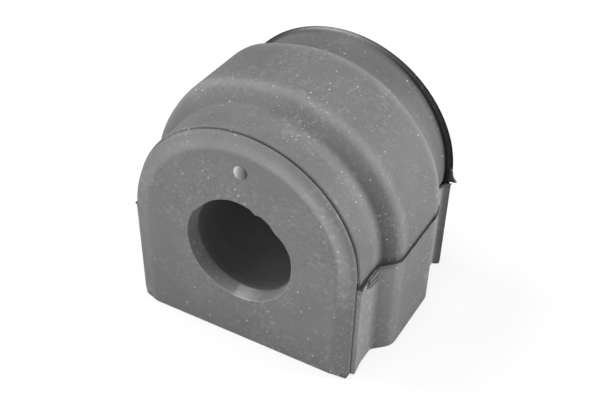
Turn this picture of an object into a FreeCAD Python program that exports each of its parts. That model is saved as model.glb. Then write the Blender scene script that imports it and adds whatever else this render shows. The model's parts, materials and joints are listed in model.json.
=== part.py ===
"""Sway bar bushing, one piece of moulded rubber.

The bar runs along Y. The flat base lies on z = 0, the arch is at the top, and
the front face is on the -Y side. The origin is on the base, under the middle.
"""
import FreeCAD
import Part
import math
import os

# Overall length, from the front face to the back face
LENGTH = 44.4
# Height of the arch's centre above the flat base
ARCH_HEIGHT = 24.2

# Half-width of the neck, which is also its radius over the arch
NECK_HALF = 25.3

# End plates: step in from the neck, flat middle, crowned edge with a rounded
# rim, the groove behind each plate, and the chamfer on the neck beside it
PLATE_STEP = 0.4
PLATE_THICK = 1.7
CROWN_INSET = 3.5
CROWN_RIM_R = 0.9
GROOVE_WIDTH = 0.4
GROOVE_DEPTH = 0.9
NECK_CHAMFER = 0.25

# Raised bead round the middle, and the ramp at each of its ends
BEAD_PROUD = 3.4
BEAD_FLAT = 14.6
RAMP_ANGLE = 47.0
RAMP_FOOT_R = 1.8
RAMP_CREST_R = 3.6
# Most of the bead's height that the ramp's two arcs may take together
SLOPE_LIMIT = 0.9

# Sealing lip round the rear neck, beside the back plate: a steep flare in
# front and a chamfered edge behind
LIP_PROUD = 1.5
LIP_CHAMFER = 0.5
LIP_FLARE = 1.5

# Small flare that the lower mould half leaves on the front end of the neck
HEEL_PROUD = 0.55
HEEL_RUN = 3.2

# Bore for the bar, a little below the arch's centre, with a tapered lead-in
# at each mouth
BORE_R = 11.2
BORE_DROP = 1.4
MOUTH_FLARE = 0.55
MOUTH_DEPTH = 2.4
MOUTH_CHAMFER = 0.2

# Thin fin that the mould leaves on both sides, along its parting line
PARTING_DROP = 1.6
FIN_PROUD = 0.3
FIN_THICK = 0.25

# Moulded pimple on the front face, below the top of the plate
PIMPLE_R = 1.45
PIMPLE_PROUD = 0.55
PIMPLE_ACROSS = 1.0
PIMPLE_DROP = 7.1

# Rounding of the base's long edges, and of its front and back edges
BASE_SIDE_R = 0.8
BASE_END_R = 0.4

# How far a cutter runs past the face that it opens
OVERRUN = 1.0
# Places closer together than this count as one
TOUCH = 0.001

# Planes across the bar, worked out from the sizes above
FRONT = -LENGTH / 2
BACK = LENGTH / 2
FRONT_GROOVE = FRONT + PLATE_THICK
NECK_FRONT = FRONT_GROOVE + GROOVE_WIDTH
BACK_GROOVE = BACK - PLATE_THICK
NECK_BACK = BACK_GROOVE - GROOVE_WIDTH
FLARE_START = NECK_BACK - LIP_CHAMFER - LIP_FLARE

# Half-widths and heights, worked out from the sizes above
PLATE_HALF = NECK_HALF - PLATE_STEP
BEAD_HALF = NECK_HALF + BEAD_PROUD
LIP_HALF = NECK_HALF + LIP_PROUD
BORE_HEIGHT = ARCH_HEIGHT - BORE_DROP
PARTING_HEIGHT = ARCH_HEIGHT - PARTING_DROP
PIMPLE_HEIGHT = ARCH_HEIGHT + PLATE_HALF - PIMPLE_DROP

ALONG = FreeCAD.Vector(0, 1, 0)
ACROSS = FreeCAD.Vector(1, 0, 0)
UP = FreeCAD.Vector(0, 0, 1)
DOWN = UP * -1


def point(y, x):
    """A point of the plan outline, at the height of the arch's centre."""
    return FreeCAD.Vector(x, y, ARCH_HEIGHT)


def path(*points):
    """Straight edges through points given as (y, x) pairs."""
    places = [point(*pair) for pair in points]
    return [Part.LineSegment(a, b).toShape() for a, b in zip(places, places[1:])]


def arc(a, b, centre):
    """The short arc from a to b about a centre in the plan."""
    bisector = (a + b) * 0.5 - centre
    through = centre + bisector.normalize() * (a - centre).Length
    return Part.Arc(a, through, b).toShape()


def crown(y_face, y_rim):
    """Crowned edge of a plate: a slope from its flat, tangent to its round rim."""
    flat = point(y_face, PLATE_HALF - CROWN_INSET)
    rim = point(y_rim, PLATE_HALF)
    centre = point(y_rim, PLATE_HALF - CROWN_RIM_R)
    reach = flat - centre
    turn = math.degrees(math.acos(CROWN_RIM_R / reach.Length))
    towards = FreeCAD.Rotation(UP, math.copysign(turn, -y_face)).multVec(reach)
    touch = centre + towards.normalize() * CROWN_RIM_R
    return [Part.LineSegment(flat, touch).toShape(), arc(touch, rim, centre)]


def ramp(end):
    """Ramp from the neck to the bead at the front (end -1) or back (end 1).

    It is a foot arc, a straight slope and a crest arc, tangent to each other.
    On a low bead both arcs shrink, so that some slope is left between them.
    """
    turn = math.radians(RAMP_ANGLE)
    arcs_rise = (RAMP_FOOT_R + RAMP_CREST_R) * (1 - math.cos(turn))
    shrink = min(1, SLOPE_LIMIT * BEAD_PROUD / arcs_rise)
    foot_r = RAMP_FOOT_R * shrink
    crest_r = RAMP_CREST_R * shrink
    slope_rise = BEAD_PROUD - arcs_rise * shrink
    y_crest = end * BEAD_FLAT / 2
    y_upper = y_crest + end * crest_r * math.sin(turn)
    y_lower = y_upper + end * slope_rise / math.tan(turn)
    y_foot = y_lower + end * foot_r * math.sin(turn)
    bead = point(y_crest, BEAD_HALF)
    upper = point(y_upper, BEAD_HALF - crest_r * (1 - math.cos(turn)))
    lower = point(y_lower, NECK_HALF + foot_r * (1 - math.cos(turn)))
    neck = point(y_foot, NECK_HALF)
    edges = [
        arc(neck, lower, point(y_foot, NECK_HALF + foot_r)),
        Part.LineSegment(lower, upper).toShape(),
        arc(upper, bead, point(y_crest, BEAD_HALF - crest_r)),
    ]
    return y_foot, edges


def neck_end(heel):
    """Front end of the neck in plan, with its edge chamfered.

    Below the parting line the end stands proud by the heel and runs back to
    the neck over the heel's length.
    """
    proud = NECK_HALF + heel
    return path((NECK_FRONT, proud - NECK_CHAMFER), (NECK_FRONT + NECK_CHAMFER, proud),
                (NECK_FRONT + HEEL_RUN, NECK_HALF))


def lip():
    """Rear end of the neck in plan: a concave flare, then the lip's chamfer."""
    rise = LIP_HALF - NECK_HALF
    radius = (LIP_FLARE ** 2 + rise ** 2) / (2 * rise)
    start = point(FLARE_START, NECK_HALF)
    edge = point(FLARE_START + LIP_FLARE, LIP_HALF)
    behind = point(NECK_BACK, LIP_HALF - LIP_CHAMFER)
    return [
        arc(start, edge, point(FLARE_START, NECK_HALF + radius)),
        Part.LineSegment(edge, behind).toShape(),
    ]


def wall(heel):
    """Side wall in plan between the two grooves: neck, bead, neck and lip."""
    front_foot, front_ramp = ramp(-1)
    back_foot, back_ramp = ramp(1)
    edges = neck_end(heel)
    edges += path((NECK_FRONT + HEEL_RUN, NECK_HALF), (front_foot, NECK_HALF))
    edges += front_ramp
    edges += path((-BEAD_FLAT / 2, BEAD_HALF), (BEAD_FLAT / 2, BEAD_HALF))
    edges += back_ramp
    edges += path((back_foot, NECK_HALF), (FLARE_START, NECK_HALF))
    return edges + lip()


def closed(edges):
    """Face inside a closed run of edges, given in any order."""
    return Part.Face(Part.Wire(Part.__sortEdges__(edges)))


def plan(heel):
    """Face of the right half in plan, from the bar's axis out to the wall."""
    root = PLATE_HALF - GROOVE_DEPTH
    flat = PLATE_HALF - CROWN_INSET
    edges = path((BACK, 0), (FRONT, 0), (FRONT, flat))
    edges += crown(FRONT, FRONT_GROOVE)
    edges += path((FRONT_GROOVE, PLATE_HALF), (FRONT_GROOVE, root), (NECK_FRONT, root),
                  (NECK_FRONT, NECK_HALF + heel - NECK_CHAMFER))
    edges += wall(heel)
    edges += path((NECK_BACK, LIP_HALF - LIP_CHAMFER), (NECK_BACK, root),
                  (BACK_GROOVE, root), (BACK_GROOVE, PLATE_HALF))
    edges += crown(BACK, BACK_GROOVE)
    edges += path((BACK, flat), (BACK, 0))
    return closed(edges)


def both_sides(shape):
    """A right-hand shape together with its mirror image."""
    return [shape, shape.mirror(point(0, 0), ACROSS)]


def block():
    """The plan turned over the arch and carried straight down to the base.

    The heel starts at the parting line, where the lower mould half begins.
    """
    upper = plan(0)
    lower = plan(HEEL_PROUD)
    lower.translate(DOWN * (ARCH_HEIGHT - PARTING_HEIGHT))
    arch = upper.revolve(point(0, 0), ALONG, -180)
    sides = both_sides(upper.extrude(DOWN * (ARCH_HEIGHT - PARTING_HEIGHT)))
    sides += both_sides(lower.extrude(DOWN * PARTING_HEIGHT))
    return arch.fuse(sides).removeSplitter().Solids[0]


def base_edges(solid):
    """Edges of the base, split into the side walls' and the end faces'."""
    on_base = [edge for edge in solid.Edges if edge.BoundBox.ZMax < TOUCH]
    sides = [edge for edge in on_base
             if abs(edge.CenterOfMass.x) > NECK_HALF - NECK_CHAMFER
             and edge.BoundBox.YMin > NECK_FRONT + NECK_CHAMFER - TOUCH
             and edge.BoundBox.YMax < FLARE_START + TOUCH]
    ends = [edge for edge in on_base if abs(edge.CenterOfMass.y) > BACK_GROOVE + TOUCH]
    return sides, ends


def round_base(solid):
    """Rounds the base's long side edges, then its front and back edges."""
    solid = solid.makeFillet(BASE_SIDE_R, base_edges(solid)[0])
    return solid.makeFillet(BASE_END_R, base_edges(solid)[1])


def fin():
    """Parting fin: the wall's outline grown a little, as a thin slice."""
    inner = path((NECK_BACK, LIP_HALF - LIP_CHAMFER), (NECK_BACK, 0), (NECK_FRONT, 0),
                 (NECK_FRONT, NECK_HALF - NECK_CHAMFER))
    grown = Part.Face(closed(wall(0) + inner).OuterWire.makeOffset2D(FIN_PROUD))
    grown.translate(DOWN * (ARCH_HEIGHT - PARTING_HEIGHT + FIN_THICK / 2))
    corner = FreeCAD.Vector(0, FRONT_GROOVE, 0)
    room = Part.makeBox(BEAD_HALF + OVERRUN, BACK_GROOVE - FRONT_GROOVE, ARCH_HEIGHT, corner)
    return grown.extrude(DOWN * -FIN_THICK).common(room)


def bore():
    """Cutter for the bore and the tapered lead-in at each mouth."""
    start = FreeCAD.Vector(0, FRONT - OVERRUN, BORE_HEIGHT)
    cutter = Part.makeCylinder(BORE_R, LENGTH + 2 * OVERRUN, start, ALONG)
    for face, inward in ((FRONT, ALONG), (BACK, ALONG * -1)):
        mouth = FreeCAD.Vector(0, face, BORE_HEIGHT)
        cutter = cutter.fuse(Part.makeCone(BORE_R + MOUTH_FLARE, BORE_R, MOUTH_DEPTH, mouth, inward))
    return cutter


def break_mouths(solid):
    """Takes off the sharp edge where each lead-in opens in its end face."""
    round_length = 2 * math.pi * (BORE_R + MOUTH_FLARE)
    rims = [edge for edge in solid.Edges
            if abs(abs(edge.CenterOfMass.y) - BACK) < TOUCH
            and abs(edge.Length - round_length) < TOUCH]
    return solid.makeChamfer(MOUTH_CHAMFER, rims)


def pimple():
    """Shallow dome on the front face: the cap of a ball sunk in the plate."""
    radius = (PIMPLE_R ** 2 + PIMPLE_PROUD ** 2) / (2 * PIMPLE_PROUD)
    centre = FreeCAD.Vector(PIMPLE_ACROSS, FRONT - PIMPLE_PROUD + radius, PIMPLE_HEIGHT)
    return Part.makeSphere(radius, centre)


def bushing():
    """The whole part as one solid."""
    solid = round_base(block())
    added = both_sides(fin()) + [pimple()]
    solid = solid.fuse(added).removeSplitter().Solids[0]
    return break_mouths(solid.cut(bore()))


if __name__ == "__main__":
    os.makedirs("parts", exist_ok=True)
    bushing().Solids[0].exportStep("parts/bushing.step")
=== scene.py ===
"""Sway bar bushing: the moulded rubber block, its flash and its studio.

The bar runs along Y, the base lies on z = 0 and the front face looks to -Y.
Sizes are in metres, as the frame's are, and MM turns millimetres into them.
"""

import json
import math

import bmesh
import bpy
from bpy.props import FloatProperty, FloatVectorProperty, IntProperty, PointerProperty
from mathutils import Matrix, Vector, noise


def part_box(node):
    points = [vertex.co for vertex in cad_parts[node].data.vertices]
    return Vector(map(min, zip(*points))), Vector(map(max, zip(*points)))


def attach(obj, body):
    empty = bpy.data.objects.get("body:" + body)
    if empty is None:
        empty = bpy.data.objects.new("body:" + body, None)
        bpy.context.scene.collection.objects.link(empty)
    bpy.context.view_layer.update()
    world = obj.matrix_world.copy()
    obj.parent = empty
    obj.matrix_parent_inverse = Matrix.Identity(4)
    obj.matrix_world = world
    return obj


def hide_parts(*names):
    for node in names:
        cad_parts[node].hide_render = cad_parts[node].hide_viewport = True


bl_info = {
    "name": "Sway bar bushing",
    "version": (1, 0, 0),
    "blender": (4, 5, 0),
    "location": "View3D > Sidebar > Bushing",
    "description": "Moulds a rubber sway bar bushing round its packed frame",
    "category": "Object",
}

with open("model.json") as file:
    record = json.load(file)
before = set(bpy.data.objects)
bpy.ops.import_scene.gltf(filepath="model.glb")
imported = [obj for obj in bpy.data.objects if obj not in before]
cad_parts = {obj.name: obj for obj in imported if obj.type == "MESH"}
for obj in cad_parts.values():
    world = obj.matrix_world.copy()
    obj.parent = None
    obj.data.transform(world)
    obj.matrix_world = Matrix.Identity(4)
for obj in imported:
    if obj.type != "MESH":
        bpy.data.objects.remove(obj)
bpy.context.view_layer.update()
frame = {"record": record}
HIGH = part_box("bushing")[1]
BORE = next(mount for mount in frame["record"]["mounts"] if mount["name"] == "bore")

MM = 0.001
# Points closer than this count as one
WELD = 0.002 * MM
# Share of a stretch by which a place may lie past its end
SLACK = 0.001
# Height of the torn ledge on the parting line
LEDGE = 0.02 * MM


def linear(hex_colour):
    """An sRGB hex colour as linear red, green and blue with full alpha."""
    parts = [int(hex_colour[i:i + 2], 16) / 255 for i in (1, 3, 5)]
    return [p / 12.92 if p <= 0.04045 else ((p + 0.055) / 1.055) ** 2.4 for p in parts] + [1.0]


def length(name, description, default):
    """A size property in metres."""
    return FloatProperty(name=name, description=description, default=default, min=0.0,
                         unit="LENGTH", subtype="DISTANCE", precision=5)


def colour(name, description, hex_colour):
    """A colour property with an sRGB hex default."""
    return FloatVectorProperty(name=name, description=description, default=linear(hex_colour),
                               min=0.0, max=1.0, size=4, subtype="COLOR")


class BushingSizes(bpy.types.PropertyGroup):
    """Sizes of the moulded block. The outer ones come from the frame."""

    fin_proud: length("Fin height", "How far the parting fin stands off the wall", 0.3 * MM)
    half_length: length("Half length", "From the middle to an end face", HIGH.y)
    bead_proud: length("Bead height", "How far the middle bead stands off the neck", 3.4 * MM)
    bead_flat: length("Bead flat", "Flat run along the top of the bead", 14.6 * MM)
    ramp_foot: length("Ramp foot", "Radius where the ramp leaves the neck", 1.8 * MM)
    ramp_crest: length("Ramp crest", "Radius where the ramp meets the bead", 3.6 * MM)
    ramp_angle: FloatProperty(name="Ramp angle", description="Slope of the ramps",
                              default=math.radians(47), subtype="ANGLE")
    plate_step: length("Plate step", "How far the end plates stay inside the neck", 0.4 * MM)
    plate_thick: length("Plate thickness", "From an end face to its groove", 1.7 * MM)
    crown_inset: length("Crown width", "Width of a plate's crowned edge", 3.5 * MM)
    crown_rim: length("Crown rim", "Radius of a plate's rounded rim", 0.9 * MM)
    groove_width: length("Groove width", "Opening of the groove behind a plate", 0.45 * MM)
    groove_depth: length("Groove depth", "Depth of the groove behind a plate", 1.1 * MM)
    neck_round: length("Neck edge", "Rounding of the neck's front edge", 0.25 * MM)
    lip_proud: length("Lip height", "How far the rear lip stands off the neck", 1.5 * MM)
    lip_edge: length("Lip edge", "Rounding behind the rear lip's crest", 0.5 * MM)
    lip_flare: length("Lip flare", "Length of the lip's concave flare", 0.9 * MM)
    heel_proud: length("Heel height", "Flare of the neck below the parting line", 0.55 * MM)
    heel_run: length("Heel length", "How far the heel runs back", 3.2 * MM)
    parting_drop: length("Parting drop", "Parting line below the arch's centre", 1.6 * MM)
    fin_left: length("Fin stub", "How far the torn fin still stands out", 0.12 * MM)
    fin_thick: length("Fin thickness", "Height of the torn fin's foot", 0.3 * MM)
    ragged: length("Ragged edge", "How far the parting line's edge wanders", 0.16 * MM)
    draft: length("Draft", "How far each leg leans in at its foot", 0.35 * MM)
    shoulder_swell: length("Shoulder swell", "How much fuller the bead's left shoulder is",
                           0.9 * MM)
    lip_corner: length("Lip corner", "Rounding of the lip's lower corners", 0.9 * MM)
    plate_corner: length("Plate corner", "Rounding of the plates' lower left corners", 0.85 * MM)
    curl_depth: length("Curl depth", "How far the wall curls in above the fin", 1.05 * MM)
    crown_fade: length("Crown fade", "Height below which the plates' crown flattens", 7 * MM)
    curl_rise: length("Curl rise", "Height over which the wall curls in", 1.5 * MM)
    mould_shift: length("Mould shift", "Upper mould half's offset to the right", 0.3 * MM)
    shift_rise: length("Shift rise", "Height over which the mould shift grows", 10 * MM)
    lip_lift: length("Lip lift", "How much taller the lip stands over the arch", 0.75 * MM)
    strip_rise: length("Strip rise", "How much the arch rises towards the lip", 1.7 * MM)
    bore_radius: length("Bore radius", "Plain part of the bore", BORE["dims"]["r_mm"] * MM)
    bore_height: length("Bore height", "Bore's axis above the base", BORE["pos_m"][2])
    mouth_flare: length("Mouth flare", "How much wider each mouth is", 0.55 * MM)
    mouth_depth: length("Mouth depth", "Length of the tapered mouth", 3.0 * MM)
    mouth_round: length("Mouth edge", "Rounding where a mouth opens", 0.2 * MM)
    pimple_radius: length("Pimple radius", "Radius of the moulded pimple", 1.45 * MM)
    pimple_proud: length("Pimple height", "How far the pimple stands out", 0.54 * MM)
    pimple_across: length("Pimple offset", "Pimple to the right of the middle", 1.0 * MM)
    pimple_height: length("Pimple place", "Pimple above the base", 42.0 * MM)
    base_round: length("Base rounding", "Rounding of the base's long edges", 0.5 * MM)
    base_end_round: length("Base end rounding", "Rounding of the base's end edges", 0.3 * MM)
    arch_steps: IntProperty(name="Arch steps", description="Facets over the half arch",
                            default=120, min=24)
    bore_steps: IntProperty(name="Bore steps", description="Facets round the bore",
                            default=180, min=24)
    leg_steps: IntProperty(name="Leg steps", description="Facets down each leg",
                           default=20, min=4)

    @property
    def bead_half(self):
        return HIGH.x - self.fin_proud

    @property
    def neck_half(self):
        return self.bead_half - self.bead_proud

    @property
    def plate_half(self):
        return self.neck_half - self.plate_step

    @property
    def arch_height(self):
        return HIGH.z - self.bead_half

    @property
    def parting_height(self):
        return self.arch_height - self.parting_drop

    @property
    def front_groove(self):
        return -self.half_length + self.plate_thick

    @property
    def neck_end(self):
        """Distance from the middle to either end of the neck."""
        return self.half_length - self.plate_thick - self.groove_width

    @property
    def lip_start(self):
        """Where the rear lip's flare leaves the neck."""
        return self.neck_end - self.lip_edge - self.lip_flare


class RubberFinish(bpy.types.PropertyGroup):
    """Colours of the rubber."""

    bloom: colour("Bloom", "Dry grey bloom that covers most of the rubber", "#7d7d7d")
    smudge: colour("Smudge", "Where the bloom is rubbed thin", "#6f6f6f")
    scuff: colour("Scuff", "Pale scuffs where dust was rubbed in", "#a4a4a4")
    dust: colour("Dust", "Pale specks of moulding dust", "#f2f2f2")
    bare: colour("Bare rubber", "Rubber without bloom, in the bore", "#6e6e6e")
    # Torn rubber is partly painted shade: its darker tone also stands for shade on the parting
    # ledge and the shadow scraps
    torn: colour("Torn rubber", "Fresh rubber where flash has torn away", "#5a5a5a")


def clamped(value):
    """The value held between 0 and 1."""
    return min(max(value, 0), 1)


def hump(value, centre, spread):
    """A smooth bump: 1 at its centre and next to nothing two spreads away."""
    return math.exp(-((value - centre) / spread) ** 2)


def rounding(radius, height):
    """How far a corner's rounding cuts in at a height above its lowest point."""
    low = max(1 - height / radius, 0)
    return radius * (1 - math.sqrt(max(1 - low ** 2, 0)))


# Points of an outline are (x, y) pairs across and along the bar

def arc(centre, radius, start, end, steps):
    """Points on an arc, with angles in radians from +x."""
    turns = [start + (end - start) * i / steps for i in range(steps + 1)]
    return [(centre[0] + radius * math.cos(t), centre[1] + radius * math.sin(t)) for t in turns]


def run(a, b, steps):
    """Points of a straight run from a to b."""
    return [(a[0] + (b[0] - a[0]) * i / steps, a[1] + (b[1] - a[1]) * i / steps)
            for i in range(steps + 1)]


def crown_outline(sizes):
    """Front plate's crowned edge: a slope from its flat, tangent to its round rim."""
    rim = sizes.crown_rim
    centre = (sizes.plate_half - rim, sizes.front_groove)
    flat = (sizes.plate_half - sizes.crown_inset, -sizes.half_length)
    reach = (flat[0] - centre[0], flat[1] - centre[1])
    touch = math.atan2(reach[1], reach[0]) + math.acos(rim / math.hypot(*reach))
    bend = arc(centre, rim, touch, 0, steps=6)
    return run(flat, bend[0], steps=4)[:-1] + bend


def ramp_outline(sizes, steps=6):
    """Front ramp from the neck to the bead: foot arc, slope and crest arc."""
    neck, bead, turn = sizes.neck_half, sizes.bead_half, sizes.ramp_angle
    foot, crest = sizes.ramp_foot, sizes.ramp_crest
    rise = sizes.bead_proud - (foot + crest) * (1 - math.cos(turn))
    y_crest = -sizes.bead_flat / 2
    y_foot = y_crest - (foot + crest) * math.sin(turn) - rise / math.tan(turn)
    points = arc((neck + foot, y_foot), foot, math.pi, math.pi - turn, steps)
    return points + arc((bead - crest, y_crest), crest, -turn, 0, steps)


def mirrored(points):
    """The same outline at the other end of the part."""
    return [(x, -y) for x, y in reversed(points)]


def wall_outline(sizes):
    """Outer wall from the neck's front edge to the rear lip's rim."""
    neck, edge = sizes.neck_half, sizes.neck_round
    ramp = ramp_outline(sizes)
    rise = sizes.lip_proud
    flare = (sizes.lip_flare ** 2 + rise ** 2) / (2 * rise)
    y_flare = sizes.lip_start
    opening = math.asin(sizes.lip_flare / flare)
    points = arc((neck - edge, edge - sizes.neck_end), edge, -math.pi / 2, 0, steps=3)
    points += run(points[-1], ramp[0], steps=8)[1:-1]
    points += ramp
    points += run(ramp[-1], (ramp[-1][0], -ramp[-1][1]), steps=12)[1:-1]
    points += mirrored(ramp)
    points += run((neck, -ramp[0][1]), (neck, y_flare), steps=5)[1:-1]
    points += arc((neck + flare, y_flare), flare, math.pi, math.pi - opening, steps=8)
    crest = (neck + rise - sizes.lip_edge, sizes.neck_end - sizes.lip_edge)
    return points + arc(crest, sizes.lip_edge, 0, math.pi / 2, steps=3)[1:]


def skin_outline(sizes):
    """Whole outline, from the front face over the wall to the back face."""
    crown = crown_outline(sizes)
    root = sizes.plate_half - sizes.groove_depth
    flat = crown[0][0] - sizes.plate_step
    points = [(flat, -sizes.half_length)] + crown
    points += [(root, sizes.front_groove), (root, -sizes.neck_end)]
    points += wall_outline(sizes)
    points += [(root, sizes.neck_end), (root, -sizes.front_groove)]
    return points + mirrored(crown) + [(flat, sizes.half_length)]


# Modelling steps shared by the pieces

def new_outline(name, points):
    """A new mesh in edit mode: one vertex drawn out along 3-D points."""
    bpy.ops.object.select_all(action="DESELECT")
    bpy.ops.mesh.primitive_plane_add(size=MM)
    piece = bpy.context.object
    piece.name = name
    piece.data.name = name
    bpy.ops.object.mode_set(mode="EDIT")
    bpy.ops.mesh.select_mode(type="VERT")
    bpy.ops.mesh.select_all(action="SELECT")
    bpy.ops.mesh.merge(type="CENTER")
    bpy.ops.transform.translate(value=points[0])
    for a, b in zip(points, points[1:]):
        bpy.ops.mesh.extrude_vertices_move(TRANSFORM_OT_translate={"value": Vector(b) - Vector(a)})
    return piece


def select_where(piece, test):
    """Selects the vertices whose place passes a test, and what they span."""
    mesh = bmesh.from_edit_mesh(piece.data)
    bpy.ops.mesh.select_all(action="DESELECT")
    for vertex in mesh.verts:
        vertex.select = test(vertex.co)
    mesh.select_flush(True)
    bmesh.update_edit_mesh(piece.data)


def select_rims(piece, test):
    """Selects the open edges whose both ends pass a test."""
    mesh = bmesh.from_edit_mesh(piece.data)
    bpy.ops.mesh.select_all(action="DESELECT")
    for edge in mesh.edges:
        if len(edge.link_faces) < 2 and all(test(vertex.co) for vertex in edge.verts):
            edge.select = True
    bmesh.update_edit_mesh(piece.data)


def draw_out(shift, scale=None):
    """Extrudes what is selected and may then scale it about the origin."""
    bpy.ops.mesh.extrude_region_move(TRANSFORM_OT_translate={"value": shift})
    if scale:
        bpy.ops.transform.resize(value=scale, center_override=(0, 0, 0))


def move_points(piece, move):
    """Moves every vertex by what a function of its place returns."""
    mesh = bmesh.from_edit_mesh(piece.data)
    for vertex in mesh.verts:
        vertex.co = vertex.co + Vector(move(vertex.co))
    bmesh.update_edit_mesh(piece.data)


def close_up(piece, smooth_angle):
    """Welds the piece, turns its faces outwards and smooths its shading."""
    bpy.ops.mesh.select_all(action="SELECT")
    bpy.ops.mesh.remove_doubles(threshold=WELD)
    bpy.ops.mesh.normals_make_consistent(inside=False)
    bpy.ops.object.mode_set(mode="OBJECT")
    bpy.ops.object.select_all(action="DESELECT")
    piece.select_set(True)
    bpy.context.view_layer.objects.active = piece
    bpy.ops.object.shade_smooth_by_angle(angle=math.radians(smooth_angle))


def keep(piece, material):
    """Gives a finished piece its material and its place in the frame."""
    piece.data.materials.append(material)
    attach(piece, "root")


# Materials

def add(tree, kind, settings=None, links=None):
    """Adds a node, sets its values and links its inputs."""
    node = tree.nodes.new(kind)
    for key, value in (settings or {}).items():
        if isinstance(key, int) or key in node.inputs:
            node.inputs[key].default_value = value
        else:
            setattr(node, key, value)
    for key, socket in (links or {}).items():
        tree.links.new(socket, node.inputs[key])
    return node


def remap(tree, value, span, result):
    """A value mapped from one span to another and held inside it."""
    settings = {"From Min": span[0], "From Max": span[1], "To Min": result[0], "To Max": result[1]}
    return add(tree, "ShaderNodeMapRange", settings, {"Value": value}).outputs["Result"]


def multiplied(tree, a, b):
    """The product of two values."""
    return add(tree, "ShaderNodeMath", {"operation": "MULTIPLY"}, {0: a, 1: b}).outputs["Value"]


def scaled(tree, tone, share):
    """A colour scaled by a value."""
    return add(tree, "ShaderNodeVectorMath", {"operation": "SCALE"},
               {"Vector": tone, "Scale": share}).outputs["Vector"]


def new_rubber(name, roughness):
    """A new material with its tree, its shader and the place on the object."""
    material = bpy.data.materials.new(name)
    material.use_nodes = True
    tree = material.node_tree
    shader = tree.nodes["Principled BSDF"]
    shader.inputs["Roughness"].default_value = roughness
    shader.inputs["IOR"].default_value = 1.5
    return material, tree, shader, add(tree, "ShaderNodeTexCoord").outputs["Object"]


def bloomed_rubber_with_painted_light(finish):
    """Moulded rubber under a dry bloom: matt mid grey, faintly mottled.

    The bloom scatters the light, so the sheen is wide and weak. Thin places
    look darker, and pale dust lies on it in specks. A factor noted per vertex
    paints light and shade on its colour and turns its sheen down in the hollows.
    """
    material = bpy.data.materials.get("moulded rubber with bloom")
    if material:
        return material
    material, tree, shader, place = new_rubber("moulded rubber with bloom", 0.62)
    # Rubbed patches about 7 mm across
    patches = add(tree, "ShaderNodeTexNoise",
                  {"Scale": 1 / (7 * MM), "Detail": 4.0, "Roughness": 0.6}, {"Vector": place})
    thin = remap(tree, patches.outputs["Fac"], (0.42, 0.72), (0, 0.45))
    # Grain of the mould's surface, 0.35 mm, coarser than real so that it shows
    grain = add(tree, "ShaderNodeTexNoise",
                {"Scale": 1 / (0.35 * MM), "Detail": 3.0, "Roughness": 0.6}, {"Vector": place})
    tone = add(tree, "ShaderNodeMix", {"data_type": "RGBA"}, {"Factor": thin})
    tone.inputs["A"].default_value = finish.bloom
    tone.inputs["B"].default_value = finish.smudge
    shade = remap(tree, grain.outputs["Fac"], (0.3, 0.7), (0.93, 1.07))
    grained = scaled(tree, tone.outputs["Result"], shade)
    # Dust gathers in drifts about 9 mm across
    drifts = add(tree, "ShaderNodeTexNoise", {"Scale": 1 / (9 * MM), "Detail": 2.0},
                 {"Vector": place})
    share = remap(tree, drifts.outputs["Fac"], (0.38, 0.62), (0.85, 0.2))
    # Pale scuffs about 1 mm across, where the drifts are
    scuffs = add(tree, "ShaderNodeTexNoise",
                 {"Scale": 1 / MM, "Detail": 5.0, "Roughness": 0.75, "Distortion": 0.3},
                 {"Vector": place})
    scuffed = remap(tree, scuffs.outputs["Fac"], (0.5, 0.7), (0, 0.7))
    scuff = multiplied(tree, scuffed, remap(tree, share, (0.85, 0.2), (0, 1)))
    paler = add(tree, "ShaderNodeMix", {"data_type": "RGBA"}, {"Factor": scuff, "A": grained})
    paler.inputs["B"].default_value = finish.scuff
    # Painted light and shade, noted per vertex: below 1 it darkens the rubber, above 1 it makes it
    # paler
    painted_factor = add(tree, "ShaderNodeAttribute", {"attribute_name": "bloom"}).outputs["Fac"]
    lit_and_shaded = scaled(tree, paler.outputs["Result"], painted_factor)
    # Painted shade: the lowest 20 mm are a little darker, towards the table
    height = add(tree, "ShaderNodeSeparateXYZ", {}, {"Vector": place})
    under = scaled(tree, lit_and_shaded, remap(tree, height.outputs["Z"], (0, 20 * MM), (0.84, 1)))
    # Fine specks 0.2 mm wide and fewer coarse ones 0.36 mm wide
    for cell, width in ((0.8 * MM, 0.2 * MM), (1.8 * MM, 0.36 * MM)):
        cells = add(tree, "ShaderNodeTexVoronoi", {"Scale": 1 / cell}, {"Vector": place})
        rim = (0.3 * width / cell, 0.6 * width / cell)
        speck = remap(tree, cells.outputs["Distance"], rim, (1, 0))
        chance = add(tree, "ShaderNodeSeparateColor", {}, {"Color": cells.outputs["Color"]})
        chosen = add(tree, "ShaderNodeMath", {"operation": "GREATER_THAN"},
                     {0: chance.outputs["Red"], 1: share})
        seen = multiplied(tree, speck, chosen.outputs["Value"])
        faint = multiplied(tree, seen, chance.outputs["Green"])
        dusted = add(tree, "ShaderNodeMix", {"data_type": "RGBA"}, {"Factor": faint, "A": under})
        dusted.inputs["B"].default_value = finish.dust
        under = dusted.outputs["Result"]
    tree.links.new(under, shader.inputs["Base Color"])
    bump = add(tree, "ShaderNodeBump", {"Strength": 0.25, "Distance": 0.05 * MM},
               {"Height": grain.outputs["Fac"]})
    tree.links.new(bump.outputs["Normal"], shader.inputs["Normal"])
    # Painted shade on the sheen too: where the painted factor is low, in the hollows, there is
    # hardly any sheen
    usual = 0.35
    sheen = add(tree, "ShaderNodeMath", {"operation": "MULTIPLY", 1: usual}, {0: painted_factor})
    tree.links.new(sheen.outputs["Value"], shader.inputs["Specular IOR Level"])
    shader.inputs["Specular IOR Level"].default_value = usual
    return material


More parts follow.
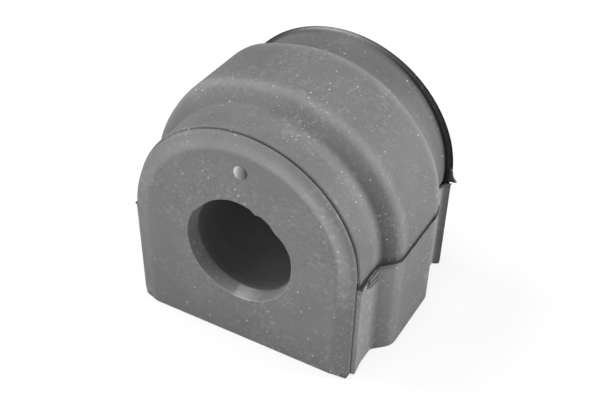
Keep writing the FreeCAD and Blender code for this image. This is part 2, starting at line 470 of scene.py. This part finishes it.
def plain_rubber(name, base, roughness):
    """Moulded rubber without bloom: darker and satin, with faint streaks.

    With nothing pale on it, the rubber shows its own tone and a closer sheen.
    """
    material = bpy.data.materials.get(name)
    if material:
        return material
    material, tree, shader, place = new_rubber(name, roughness)
    # Moulding streaks, 6 mm long round the bar and 0.6 mm apart along it
    stretched = add(tree, "ShaderNodeMapping", {"Scale": (0.2, 2.0, 0.2)}, {"Vector": place})
    streaks = add(tree, "ShaderNodeTexNoise", {"Scale": 1 / (1.2 * MM), "Detail": 4.0},
                  {"Vector": stretched.outputs["Vector"]})
    toned = add(tree, "ShaderNodeVectorMath", {"operation": "SCALE"},
                {"Scale": remap(tree, streaks.outputs["Fac"], (0.35, 0.65), (0.92, 1.1))})
    toned.inputs[0].default_value = base[:3]
    tree.links.new(toned.outputs["Vector"], shader.inputs["Base Color"])
    return material


def bare_rubber(finish):
    """Rubber of the bore, polished by its core: satin and nearly clean."""
    return plain_rubber("bare rubber", finish.bare, 0.42)


def torn_rubber_and_painted_shade(finish):
    """Fresh rubber where flash tore away, dark and a little rougher; its tone also paints shade on
    the ledge and on shadow scraps.
    """
    return plain_rubber("torn rubber", finish.torn, 0.55)


# How the front mouth's edge wanders: place in degrees from the right, spread in
# degrees, and how far out it goes
MOUTH_WAVER = (
    (18, 12, 0.27 * MM),
    (44, 7, -0.42 * MM),
    (70, 4, -0.5 * MM),
    (95, 13, 0.2 * MM),
    (135, 13, -0.35 * MM),
    (222, 12, 0.15 * MM),
)


class Spot:
    """A place on the block, and what the painted light and shade there depend on."""

    def __init__(self, co, sizes):
        self.x, self.y, self.z = co
        self.rise = max(self.z - sizes.arch_height, 0)
        self.reach = math.hypot(self.x, self.rise)
        # 1 on top of the arch and 0 down both legs
        self.turn = self.rise / self.reach if self.reach else 0
        # 1 down the right leg and 0 on the left half
        self.right = max(self.x / self.reach, 0) if self.reach else 0
        # 0 above the parting line and 1 from a millimetre below it
        self.leg = clamped((sizes.parting_height - self.z) / MM)


class BUSHING_OT_block(bpy.types.Operator):
    """Mould the rubber block with its bead, lip, grooves and bore"""

    bl_idname = "bushing.block"
    bl_label = "Rubber block"

    def execute(self, context):
        sizes = context.scene.bushing_sizes
        block = self.skin(sizes)
        bore = self.bore(sizes)
        self.join(block, bore)
        self.close_faces(block, sizes)
        self.round_base(block, sizes)
        self.flatten(block, sizes)
        self.settle(block, sizes)
        close_up(block, smooth_angle=40)
        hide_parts("bushing")
        finish = context.scene.rubber_finish
        keep(block, bloomed_rubber_with_painted_light(finish))
        block.data.materials.append(bare_rubber(finish))
        block.data.materials.append(torn_rubber_and_painted_shade(finish))
        for face in block.data.polygons:
            face.material_index = self.kind_of_skin(face, sizes)
        self.tone(block, sizes)
        return {"FINISHED"}

    def skin(self, sizes):
        """The wall's outline spun over the arch and drawn down both legs."""
        centre = (0, 0, sizes.arch_height)
        outline = [(x, y, sizes.arch_height) for x, y in skin_outline(sizes)]
        block = new_outline("rubber_block", outline)
        bpy.ops.mesh.select_all(action="SELECT")
        bpy.ops.mesh.spin(steps=sizes.arch_steps, angle=math.pi, center=centre, axis=(0, 1, 0))
        if max(v.co.z for v in bmesh.from_edit_mesh(block.data).verts) < sizes.arch_height + MM:
            raise RuntimeError("the arch was spun downwards")
        for drop in self.drops(sizes):
            low = min(v.co.z for v in bmesh.from_edit_mesh(block.data).verts)
            select_rims(block, lambda co: co.z < low + WELD)
            draw_out((0, 0, -drop))
        self.curl(block, sizes)
        self.wander(block, sizes)
        self.heel(block, sizes)
        self.lift(block, sizes)
        self.swell(block, sizes)
        self.shift(block, sizes)
        return block

    def drops(self, sizes):
        """Steps down a leg, from the arch's centre: close together where the wall curls."""
        to_curl = sizes.parting_drop - sizes.curl_rise
        rows = [to_curl] + [sizes.curl_rise / 10 * share for share in (3, 2, 2, 1, 1, 1)]
        leg = sizes.parting_height - LEDGE - sizes.fin_thick - sizes.base_round
        return rows + [LEDGE, sizes.fin_thick] + [leg / sizes.leg_steps] * sizes.leg_steps

    def curl(self, block, sizes):
        """Turns the wall in towards the parting line, from above."""
        def move(co):
            rise = (co.z - sizes.parting_height) / sizes.curl_rise
            on_wall = abs(co.y) < sizes.neck_end - WELD and abs(co.x) > sizes.neck_half - WELD
            if not on_wall or not -SLACK <= rise <= 1:
                return (0, 0, 0)
            # Shallow at the ramps' feet, and torn deepest on the right of the front neck
            proud = (abs(co.x) - sizes.neck_half) / sizes.bead_proud
            share = 1 - 0.75 * hump(proud, 0.15, 0.12) * (abs(co.y) < 14 * MM)
            if co.x > 0:
                share += 0.7 * hump(co.y, -16.5 * MM, 2.4 * MM)
            depth = sizes.curl_depth * share * (1 - math.sqrt(max(0, 1 - (1 - rise) ** 2)))
            return (-math.copysign(depth, co.x), 0, 0)
        move_points(block, move)

    def wander(self, block, sizes):
        """Lets the torn edge on the parting line wander, with what is left of the fin."""
        def move(co):
            below = sizes.parting_height - co.z
            edge = sizes.neck_half - sizes.neck_round - WELD
            on_wall = abs(co.x) > edge and abs(co.y) < sizes.neck_end - WELD
            if not on_wall or not 0.5 * LEDGE < below < 1.5 * LEDGE:
                return (0, 0, 0)
            stub = sizes.fin_left * hump(co.y, -16 * MM, 6 * MM) if co.x > 0 else 0
            # Ragged about every 0.9 mm, and not alike on the two sides
            spot = Vector((math.copysign(3, co.x), co.y / (0.9 * MM), 0.5))
            return (stub + sizes.ragged * noise.noise(spot), 0, 0)
        move_points(block, move)

    def heel(self, block, sizes):
        """Lets the neck's front end flare a little below the parting line."""
        def move(co):
            back = (co.y + sizes.neck_end) / sizes.heel_run
            on_wall = abs(co.x) > sizes.neck_half - sizes.neck_round - WELD
            above = co.z > sizes.parting_height - 0.5 * LEDGE
            if not on_wall or above or not -SLACK <= back < 1:
                return (0, 0, 0)
            return (math.copysign(sizes.heel_proud * (1 - back), co.x), 0, 0)
        move_points(block, move)

    def lift(self, block, sizes):
        """Raises the rear lip over the arch, and the strip that leads up to it."""
        foot = -ramp_outline(sizes)[0][1]

        def move(co):
            rise = co.z - sizes.arch_height
            reach = math.hypot(co.x, rise)
            behind = foot < co.y < sizes.neck_end + WELD
            if rise <= 0 or reach < sizes.neck_half - WELD or not behind:
                return (0, 0, 0)
            turn = rise / reach
            proud = clamped((reach - sizes.neck_half) / sizes.lip_proud)
            along = min((co.y - foot) / (sizes.lip_start - foot), 1)
            strip = sizes.strip_rise * turn * along
            return (0, 0, (1 - proud) * strip + sizes.lip_lift * proud * math.sqrt(turn))
        move_points(block, move)

    def swell(self, block, sizes):
        """Makes the bead's left shoulder fuller, but no taller than the arch."""
        # Degrees from the right: the shoulder, and its spread on either side of it
        shoulder, spread_right, spread_left = 122, 12, 17
        top = sizes.arch_height + sizes.bead_half

        def move(co):
            rise = co.z - sizes.arch_height
            reach = math.hypot(co.x, rise)
            proud = (reach - sizes.neck_half) / sizes.bead_proud
            if rise <= 0 or proud <= 0 or abs(co.y) > sizes.lip_start:
                return (0, 0, 0)
            place = math.degrees(math.atan2(rise, co.x))
            spread = spread_left if place > shoulder else spread_right
            size = sizes.shoulder_swell * min(proud, 1) * hump(place, shoulder, spread)
            size = min(size, (top - co.z) / (rise / reach))
            return (size * co.x / reach, 0, size * rise / reach)
        move_points(block, move)

    def shift(self, block, sizes):
        """Sets what the upper mould half formed a little to the right."""
        def move(co):
            share = clamped((co.z - sizes.parting_height) / sizes.shift_rise)
            return (sizes.mould_shift * share, 0, 0)
        move_points(block, move)

    def waver(self, wall, sizes):
        """Lets the front mouth's edge wander where flash was trimmed from it."""
        widest = sizes.bore_radius + sizes.mouth_flare + 2 * sizes.mouth_round

        def move(co):
            share = 1 - (co.y + sizes.half_length) / sizes.mouth_depth
            out = Vector((co.x, 0, co.z - sizes.bore_height))
            if share <= 0 or out.length > widest:
                return (0, 0, 0)
            turn = math.degrees(math.atan2(out.z, out.x)) % 360
            swell = sum(size * hump(turn, place, spread) for place, spread, size in MOUTH_WAVER)
            return out.normalized() * (swell * share)
        move_points(wall, move)

    def bore(self, sizes):
        """The bore's wall: both mouths and the plain run, spun round its axis."""
        bpy.ops.object.mode_set(mode="OBJECT")
        mouth, edge = sizes.bore_radius + sizes.mouth_flare, sizes.mouth_round
        face = -sizes.half_length
        front = [(mouth + 3 * edge, face)]
        front += arc((mouth + edge, face + edge), edge, -math.pi / 2, -math.pi, steps=4)
        inner = (sizes.bore_radius, face + sizes.mouth_depth)
        front += run(front[-1], inner, steps=6)[1:]
        plain = run(inner, (inner[0], -inner[1]), steps=24)[1:-1]
        across = front + plain + mirrored(front)
        outline = [(x, y, sizes.bore_height) for x, y in across]
        wall = new_outline("bore_wall", outline)
        bpy.ops.mesh.select_all(action="SELECT")
        bpy.ops.mesh.spin(steps=sizes.bore_steps, angle=2 * math.pi,
                          center=(0, 0, sizes.bore_height), axis=(0, 1, 0))
        bpy.ops.mesh.select_all(action="SELECT")
        bpy.ops.mesh.remove_doubles(threshold=WELD)
        self.waver(wall, sizes)
        bpy.ops.object.mode_set(mode="OBJECT")
        return wall

    def join(self, block, bore):
        """Makes the bore's wall part of the block's mesh."""
        bpy.ops.object.select_all(action="DESELECT")
        bore.select_set(True)
        block.select_set(True)
        bpy.context.view_layer.objects.active = block
        bpy.ops.object.join()
        bpy.ops.object.mode_set(mode="EDIT")

    def close_faces(self, block, sizes):
        """Fills each end face between the crown, the mouth and the base."""
        for face in (-sizes.half_length, sizes.half_length):
            corner = sizes.plate_half - sizes.crown_inset - sizes.plate_step
            low = sizes.base_round
            select_where(block, lambda co: abs(co.y - face) < WELD and abs(co.z - low) < WELD
                         and abs(abs(co.x) - corner) < WELD)
            bpy.ops.mesh.edge_face_add()
            select_rims(block, lambda co: abs(co.y - face) < WELD)
            bpy.ops.mesh.fill(use_beauty=True)

    def round_base(self, block, sizes):
        """Rounds the rim of the base and closes it."""
        steps = 5
        side, end = sizes.base_round, sizes.base_end_round
        for i in range(steps):
            low = side * (1 - math.sin(math.pi / 2 * i / steps))
            lower = side * (1 - math.sin(math.pi / 2 * (i + 1) / steps))
            inward = math.cos(math.pi / 2 * i / steps) - math.cos(math.pi / 2 * (i + 1) / steps)
            select_rims(block, lambda co: abs(co.z - low) < WELD)
            across = 1 - side * inward / sizes.bead_half
            along = 1 - end * inward / sizes.half_length
            draw_out((0, 0, lower - low), (across, along, 1))
        select_rims(block, lambda co: co.z < WELD)
        bpy.ops.mesh.fill(use_beauty=True)

    def flatten(self, block, sizes):
        """Flattens the right crown of both plates towards the base."""
        slope = sizes.half_length - 0.8 * sizes.plate_thick
        start, most = 0.05, 0.75

        def move(co):
            low = sizes.base_round / 2 < co.z <= sizes.crown_fade
            on_crown = self.crown_share(co, sizes) >= start and abs(co.y) >= slope
            if not low or co.x < 0 or not on_crown:
                return (0, 0, 0)
            share = most * (1 - co.z / sizes.crown_fade)
            return (0, math.copysign(share * (sizes.half_length - abs(co.y)), co.y), 0)
        move_points(block, move)

    def crown_share(self, co, sizes):
        """0 where a plate's flat ends and 1 at its rim, across the bar."""
        return (abs(co.x) - sizes.plate_half + sizes.crown_inset) / sizes.crown_inset

    def settle(self, block, sizes):
        """Leans the legs in and rounds the lower corners of lip, plates and neck."""
        plate = sizes.half_length - sizes.plate_thick - WELD
        side = sizes.neck_half - sizes.draft
        # The lean grows from here to here across the bar
        still, leaning = 13 * MM, 21 * MM
        # Shares of a full rounding at the lip's and the neck's corners, and how
        # far back from its front end the neck's right corner is rounded
        lip_share, neck_share, corner_run = 0.8, 0.5, 2 * MM

        def move(co):
            share = clamped((abs(co.x) - still) / (leaning - still))
            inward = sizes.draft * share * max(1 - co.z / sizes.parting_height, 0)
            if co.y > sizes.lip_start and abs(co.x) > side:
                inward += lip_share * rounding(sizes.lip_corner, co.z)
            edge = self.crown_share(co, sizes)
            if edge > 0 and co.x < 0 and abs(co.y) > plate:
                inward += edge * rounding(sizes.plate_corner, co.z)
            front = 1 - (co.y + sizes.neck_end) / corner_run
            if co.x > side and 0 < front < 1 + SLACK:
                inward += neck_share * front * rounding(sizes.plate_corner, co.z)
            return (-math.copysign(inward, co.x), 0, 0)
        move_points(block, move)

    def kind_of_skin(self, face, sizes):
        """0 for bloomed rubber, 1 for the plain bore, 2 where the flash tore off and its darker
        rubber also paints the crevice's shade on the ledge.
        """
        centre = face.center
        reach = math.hypot(centre.x, centre.z - sizes.bore_height)
        inside = abs(centre.y) < sizes.half_length - sizes.mouth_depth
        if inside and reach < sizes.bore_radius + 0.05 * MM:
            return 1
        on_ledge = 0 < sizes.parting_height - centre.z < LEDGE
        torn = -sizes.neck_end < centre.y < 13 * MM and abs(centre.x) > sizes.neck_half - 2 * MM
        return 2 if torn and on_ledge else 0

    def tone(self, block, sizes):
        """Paints light and shade per vertex, as a factor on the rubber's colour with 1 as the
        usual level.
        """
        bloom = block.data.attributes.new("bloom", "FLOAT", "POINT")
        usual, least, most = 1, 0.1, 3
        foot = -ramp_outline(sizes)[4][1]
        plates = sizes.half_length - sizes.plate_thick
        for vertex in block.data.vertices:
            spot = Spot(vertex.co, sizes)
            value = usual + self.plate_painted_light(spot, sizes) + self.mouth_painted_light(spot, sizes)
            if spot.reach > sizes.neck_half - 2 * MM and abs(spot.y) < plates:
                hollow = hump(abs(spot.y), foot - 0.9 * MM, 1.2 * MM)
                value += self.ramp_painted_light(spot, foot, hollow) + self.lip_painted_light(spot, sizes)
                value += self.parting_painted_light(spot, sizes, hollow)
            bloom.data[vertex.index].value = min(max(value, least), most)

    def ramp_painted_light(self, spot, foot, hollow):
        """Painted shade in the ramps' feet, and painted light beside them, on their crests and on
        the legs.
        """
        along = abs(spot.y)
        value = (0.5 * spot.turn - 0.68) * hollow * (1 - 0.95 * spot.leg)
        beside = hump(along, foot + 2 * MM, 1.3 * MM)
        value += (0.08 + 0.14 * spot.right) * beside * (1 - spot.leg)
        value += 0.15 * hump(along, foot - 3.2 * MM, 1.2 * MM)
        value += 0.15 * hump(along, 8 * MM, MM)
        value += 0.15 * hump(spot.y, 8 * MM, 0.8 * MM) * (1 - spot.leg)
        # Painted light down the legs: rear strip, neck, ramps and bead
        if spot.y > 14 * MM:
            leg_light = 0.8
        elif along > 13 * MM:
            leg_light = 0.45
        else:
            leg_light = 0.22 if along > 9 * MM else 0.04
        return value + leg_light * spot.leg

    def lip_painted_light(self, spot, sizes):
        """Painted shade on the rear strip, in the lip's flare and behind its crest.

        A painted highlight lies on the crest over the top, a little to the left.
        """
        crest = sizes.neck_end - sizes.lip_edge
        flare = hump(spot.y, crest - 0.5 * sizes.lip_flare, 0.6 * MM)
        value = flare * (0.05 * spot.turn - 0.82) * (1 - spot.turn ** 12) * (1 - 0.95 * spot.leg)
        value -= 0.16 * (spot.y > 13 * MM) * (1 - spot.leg)
        value -= 0.5 * (spot.y > crest + 0.1 * MM)
        highlight_turn = math.radians(95)
        top = max(math.cos(math.atan2(spot.rise, spot.x) - highlight_turn), 0) ** 24
        return value + 0.9 * top * (spot.rise > 0) * hump(spot.y, crest, 0.35 * MM)

    def parting_painted_light(self, spot, sizes, hollow):
        """Painted shade where the wall curls in, and a painted highlight along the torn edge below
        it.
        """
        above = (spot.z - sizes.parting_height) / (1.9 * MM)
        if above > -SLACK:
            return -0.62 * math.exp(-above ** 4) * (1 - 0.8 * hollow) * (spot.y < 15 * MM)
        if spot.z > sizes.parting_height - 1.5 * LEDGE:
            return 0.25 + 1.3 * hump(spot.y, -16 * MM, 5 * MM) * (spot.x > 0)
        return 0

    def plate_painted_light(self, spot, sizes):
        """Painted highlight on the front plate's crown, at the top and right, and painted shade at
        its feet.
        """
        if spot.y >= sizes.front_groove:
            return 0
        value = 0
        if spot.y > WELD - sizes.half_length and spot.reach > sizes.plate_half - 4 * MM:
            ridge = hump(spot.reach, sizes.plate_half - 2.4 * MM, 1.6 * MM)
            fade = clamped((spot.z - sizes.arch_height + 8 * MM) / (14 * MM))
            value += ridge * (0.25 * spot.turn + 0.62 * spot.right) * fade
        if spot.z < sizes.base_round and abs(spot.x) > sizes.plate_half - 2 * MM:
            value -= 0.5
        return value

    def mouth_painted_light(self, spot, sizes):
        """Painted light in the mouths, most on the low side, past a painted shadow edge on the
        left.
        """
        rise = spot.z - sizes.bore_height
        widest = sizes.bore_radius + sizes.mouth_flare + MM
        if math.hypot(spot.x, rise) >= widest or abs(spot.y) >= sizes.half_length - WELD:
            return 0
        place = math.degrees(math.atan2(rise, spot.x)) % 360
        # Painted light: the second angle is the painted shadow edge, and past it the low side is
        # palest at the third
        usual, rubbed, brightest = 0.3, 263, 271
        if place > rubbed:
            return usual + 1.15 * hump(place, brightest, 13)
        return usual + 0.2 * hump(place, rubbed, 30)


class BUSHING_OT_pimple(bpy.types.Operator):
    """Raise the moulded pimple on the front face"""

    bl_idname = "bushing.pimple"
    bl_label = "Pimple"

    def execute(self, context):
        sizes = context.scene.bushing_sizes
        r, proud, face = sizes.pimple_radius, sizes.pimple_proud, -sizes.half_length
        rings, root = 9, 0.06 * MM
        turns = [math.pi / 2 * i / rings for i in range(rings + 1)]
        outline = [(r * math.sin(t), -proud * math.cos(t)) for t in turns] + [(r, root)]
        centre = Vector((sizes.pimple_across, face, sizes.pimple_height))
        points = [centre + Vector((x, y, 0)) for x, y in outline]
        dome = new_outline("pimple", points)
        bpy.ops.mesh.select_all(action="SELECT")
        bpy.ops.mesh.spin(steps=32, angle=2 * math.pi, center=centre, axis=(0, 1, 0))
        bpy.ops.mesh.select_all(action="SELECT")
        bpy.ops.mesh.remove_doubles(threshold=WELD)
        select_rims(dome, lambda co: co.y > face + root - WELD)
        bpy.ops.mesh.edge_face_add()
        close_up(dome, smooth_angle=50)
        keep(dome, bloomed_rubber_with_painted_light(context.scene.rubber_finish))
        # Painted light on its left side and painted shade on its right: the second number sets how
        # fast the right side darkens, the third how fast the left side brightens
        top, rubbed, lit_side = 1.3, 0.8, 2.4
        bloom = dome.data.attributes.new("bloom", "FLOAT", "POINT")
        for vertex in dome.data.vertices:
            off = (vertex.co.x - centre.x) / r
            bloom.data[vertex.index].value = top - (rubbed if off > 0 else lit_side) * off
        return {"FINISHED"}


# Torn flash: name, painted light level (0 for torn rubber, whose dark tone also paints shade), the
# outline's points in mm across, along and up, and its thickness across, along and up
FLASH = (
    ("lip_spike", 0, (
        (26.2, 19.4, 26.8), (26.85, 19.4, 26.0), (27.0, 19.4, 25.0), (27.3, 19.4, 24.35),
        (28.0, 19.4, 23.6), (27.3, 19.4, 23.45), (26.2, 19.4, 23.3)), (0, 0.45, 0)),
    # Painted shadow: a dark torn sheet laid behind the flakes, where their shadow falls
    ("flake_bed", 0, (
        (25.4, -16.41, 20.28), (25.4, -14.77, 19.41), (25.4, -13.45, 19.15),
        (25.5, -12.07, 19.07), (25.6, -10.97, 19.15), (25.65, -10.88, 20.29),
        (25.65, -12.01, 22.36), (25.5, -13.04, 22.36), (25.4, -14.31, 22.08),
        (25.4, -15.99, 22.28), (25.4, -16.49, 21.58)), (-0.3, 0, 0)),
    # Painted light: the flakes and the lip fin are noted paler, the left flash darker
    ("upper_flake", 1.1, (
        (25.6, -16.13, 21.27), (25.6, -15.85, 22.01), (25.6, -14.39, 21.96),
        (25.7, -13.08, 22.14), (25.75, -12.55, 22.3), (25.75, -12.42, 21.64),
        (25.65, -13.74, 21.43), (25.6, -15.01, 21.41)), (-0.4, 0, 0)),
    ("lower_flake", 1.1, (
        (25.6, -16.37, 20.79), (25.6, -15.49, 20.54), (25.6, -14.54, 20.44),
        (25.65, -13.16, 20.33), (25.75, -12.31, 20.54), (25.8, -12.1, 21.12),
        (25.75, -12.67, 20.97), (25.65, -13.65, 20.75), (25.6, -14.98, 20.89)), (-0.4, 0, 0)),
    # Painted shade: a dark strip at the bead's hook, where the shadow under the flap falls
    ("bead_hook", 0, (
        (28.6, 6.9, 22.65), (28.6, 8.6, 22.85), (28.5, 9.2, 23.7), (28.4, 9.0, 24.9),
        (28.45, 8.2, 25.5), (28.45, 8.4, 24.4), (28.55, 8.0, 23.6), (28.6, 6.9, 23.2)),
     (0.25, 0, 0)),
    ("lip_fin", 1.3, (
        (25.4, 17.75, 22.75), (26.0, 18.7, 22.9), (26.9, 19.15, 23.1), (27.2, 19.3, 23.2),
        (27.1, 19.3, 22.95), (26.6, 18.95, 22.6), (25.4, 17.8, 22.35)), (0, 0.12, 0)),
    ("left_flash", 0.6, (
        (-25.2, -19.6, 22.2), (-26.2, -19.6, 22.5), (-26.45, -19.6, 22.8),
        (-26.1, -19.6, 23.2), (-25.2, -19.6, 23.9)), (0, 0.8, 0)),
)


class BUSHING_OT_flash(bpy.types.Operator):
    """Leave the scraps of flash where the parting line tore"""

    bl_idname = "bushing.flash"
    bl_label = "Torn flash"

    def execute(self, context):
        finish = context.scene.rubber_finish
        for name, bloom, outline, thickness in FLASH:
            points = [MM * Vector(point) for point in outline]
            scrap = new_outline(name, points + points[:1])
            bpy.ops.mesh.select_all(action="SELECT")
            bpy.ops.mesh.remove_doubles(threshold=WELD)
            bpy.ops.mesh.select_all(action="SELECT")
            bpy.ops.mesh.edge_face_add()
            draw_out(MM * Vector(thickness))
            close_up(scrap, smooth_angle=30)
            keep(scrap, bloomed_rubber_with_painted_light(finish) if bloom else torn_rubber_and_painted_shade(finish))
            # Painted light level of each scrap, noted per vertex
            painted_factor = scrap.data.attributes.new("bloom", "FLOAT", "POINT")
            for note in painted_factor.data:
                note.value = bloom
        return {"FINISHED"}


# Soft lights: name, degrees round from the front towards the right, degrees
# up from the table, and watts. The side that faces the camera gets the least.
SOFT_LIGHTS = (
    ("ceiling", 0, 90, 1.5),
    ("front left", -40, 20, 1.6),
    ("front", 0, 20, 2.9),
    ("rear right", 120, 20, 6.6),
    ("left", -80, 50, 4.5),
)
# They are this wide and look from this far at the part's middle
LIGHT_WIDTH = 0.35
LIGHT_DISTANCE = 0.9
MIDDLE = (0, 0, 0.025)

# The camera as it was fitted to the photograph, with its lens and sensor in mm
CAMERA_PLACE = (0.08581, -0.15324, 0.15464)
CAMERA_RIGHT = (0.8697, 0.4933, 0.0163)
CAMERA_FORWARD = (-0.3838, 0.6966, -0.6061)
CAMERA_LENS = 63.3
CAMERA_SENSOR = 36


class BUSHING_OT_stage(bpy.types.Operator):
    """Set the floor, the soft lights and the camera"""

    bl_idname = "bushing.stage"
    bl_label = "Stage"

    def execute(self, context):
        self.floor()
        self.world(context.scene)
        for name, azimuth, elevation, power in SOFT_LIGHTS:
            self.light(name, math.radians(azimuth), math.radians(elevation), power)
        self.camera(context.scene)
        context.scene.view_settings.view_transform = "Standard"
        return {"FINISHED"}

    def floor(self):
        """White table that keeps the object's shadow."""
        bpy.ops.object.select_all(action="DESELECT")
        # A hair lower than the base, so that the two don't share a plane
        width, gap = 6, 0.02 * MM
        bpy.ops.mesh.primitive_plane_add(size=width, location=(0, 0, -gap))
        floor = bpy.context.object
        floor.name = "floor"
        material = bpy.data.materials.new("white table")
        material.use_nodes = True
        tree = material.node_tree
        tree.nodes.clear()
        seen = add(tree, "ShaderNodeLightPath")
        matt = add(tree, "ShaderNodeBsdfDiffuse", {"Color": linear("#d8d8d8")})
        shaded = add(tree, "ShaderNodeBsdfDiffuse", {"Color": linear("#8c8c8c")})
        # To the camera it also glows, so that it looks nearly white
        glow = add(tree, "ShaderNodeEmission", {"Strength": 0.78})
        pale = add(tree, "ShaderNodeAddShader", {},
                   {0: shaded.outputs["BSDF"], 1: glow.outputs["Emission"]})
        mixed = add(tree, "ShaderNodeMixShader", {},
                    {0: seen.outputs["Is Camera Ray"], 1: matt.outputs["BSDF"],
                     2: pale.outputs["Shader"]})
        add(tree, "ShaderNodeOutputMaterial", {}, {"Surface": mixed.outputs["Shader"]})
        floor.data.materials.append(material)

    def world(self, scene):
        """Faint even room light, which the camera sees as plain white."""
        world = bpy.data.worlds.new("white room")
        scene.world = world
        world.use_nodes = True
        tree = world.node_tree
        tree.nodes.clear()
        seen = add(tree, "ShaderNodeLightPath")
        room = add(tree, "ShaderNodeBackground", {"Color": (1, 1, 1, 1), "Strength": 0.02})
        white = add(tree, "ShaderNodeBackground", {"Color": (1, 1, 1, 1), "Strength": 1.0})
        mixed = add(tree, "ShaderNodeMixShader", {},
                    {0: seen.outputs["Is Camera Ray"], 1: room.outputs["Background"],
                     2: white.outputs["Background"]})
        add(tree, "ShaderNodeOutputWorld", {}, {"Surface": mixed.outputs["Shader"]})

    def light(self, name, azimuth, elevation, power):
        """A square soft light that looks at the part."""
        lamp = bpy.data.lights.new(name, "AREA")
        lamp.size = LIGHT_WIDTH
        lamp.energy = power
        soft = bpy.data.objects.new(name, lamp)
        towards = Vector((math.sin(azimuth) * math.cos(elevation),
                          -math.cos(azimuth) * math.cos(elevation), math.sin(elevation)))
        soft.location = Vector(MIDDLE) + LIGHT_DISTANCE * towards
        soft.rotation_euler = towards.to_track_quat("Z", "Y").to_euler()
        bpy.context.scene.collection.objects.link(soft)

    def camera(self, scene):
        """Looks down on the front right corner, as the photograph does."""
        right = Vector(CAMERA_RIGHT).normalized()
        forward = Vector(CAMERA_FORWARD)
        forward = (forward - right * forward.dot(right)).normalized()
        up = right.cross(forward)
        lens = bpy.data.cameras.new("camera")
        lens.lens = CAMERA_LENS
        lens.sensor_width = CAMERA_SENSOR
        lens.clip_start = 0.01
        camera = bpy.data.objects.new("camera", lens)
        turned = Matrix((right, up, -forward)).transposed().to_4x4()
        nudge = 0.1 * MM
        place = Vector(CAMERA_PLACE) + nudge * (up - right)
        camera.matrix_world = Matrix.Translation(place) @ turned
        scene.collection.objects.link(camera)
        scene.camera = camera


class BUSHING_PT_panel(bpy.types.Panel):
    """Steps that build the bushing, and its sizes and colours"""

    bl_idname = "BUSHING_PT_panel"
    bl_label = "Sway bar bushing"
    bl_space_type = "VIEW_3D"
    bl_region_type = "UI"
    bl_category = "Bushing"

    def draw(self, context):
        for step in STEPS:
            self.layout.operator(step.bl_idname)
        for group in (context.scene.bushing_sizes, context.scene.rubber_finish):
            box = self.layout.box()
            for name in group.bl_rna.properties.keys():
                if name not in ("name", "rna_type"):
                    box.prop(group, name)


STEPS = (BUSHING_OT_block, BUSHING_OT_pimple, BUSHING_OT_flash, BUSHING_OT_stage)
CLASSES = (BushingSizes, RubberFinish) + STEPS + (BUSHING_PT_panel,)


def register():
    for kind in CLASSES:
        bpy.utils.register_class(kind)
    bpy.types.Scene.bushing_sizes = PointerProperty(type=BushingSizes)
    bpy.types.Scene.rubber_finish = PointerProperty(type=RubberFinish)


def unregister():
    del bpy.types.Scene.rubber_finish
    del bpy.types.Scene.bushing_sizes
    for kind in reversed(CLASSES):
        bpy.utils.unregister_class(kind)


def main():
    """Builds the part and its stage."""
    register()
    for step in STEPS:
        group, name = step.bl_idname.split(".")
        getattr(getattr(bpy.ops, group), name)()


if __name__ == "__main__":
    main()
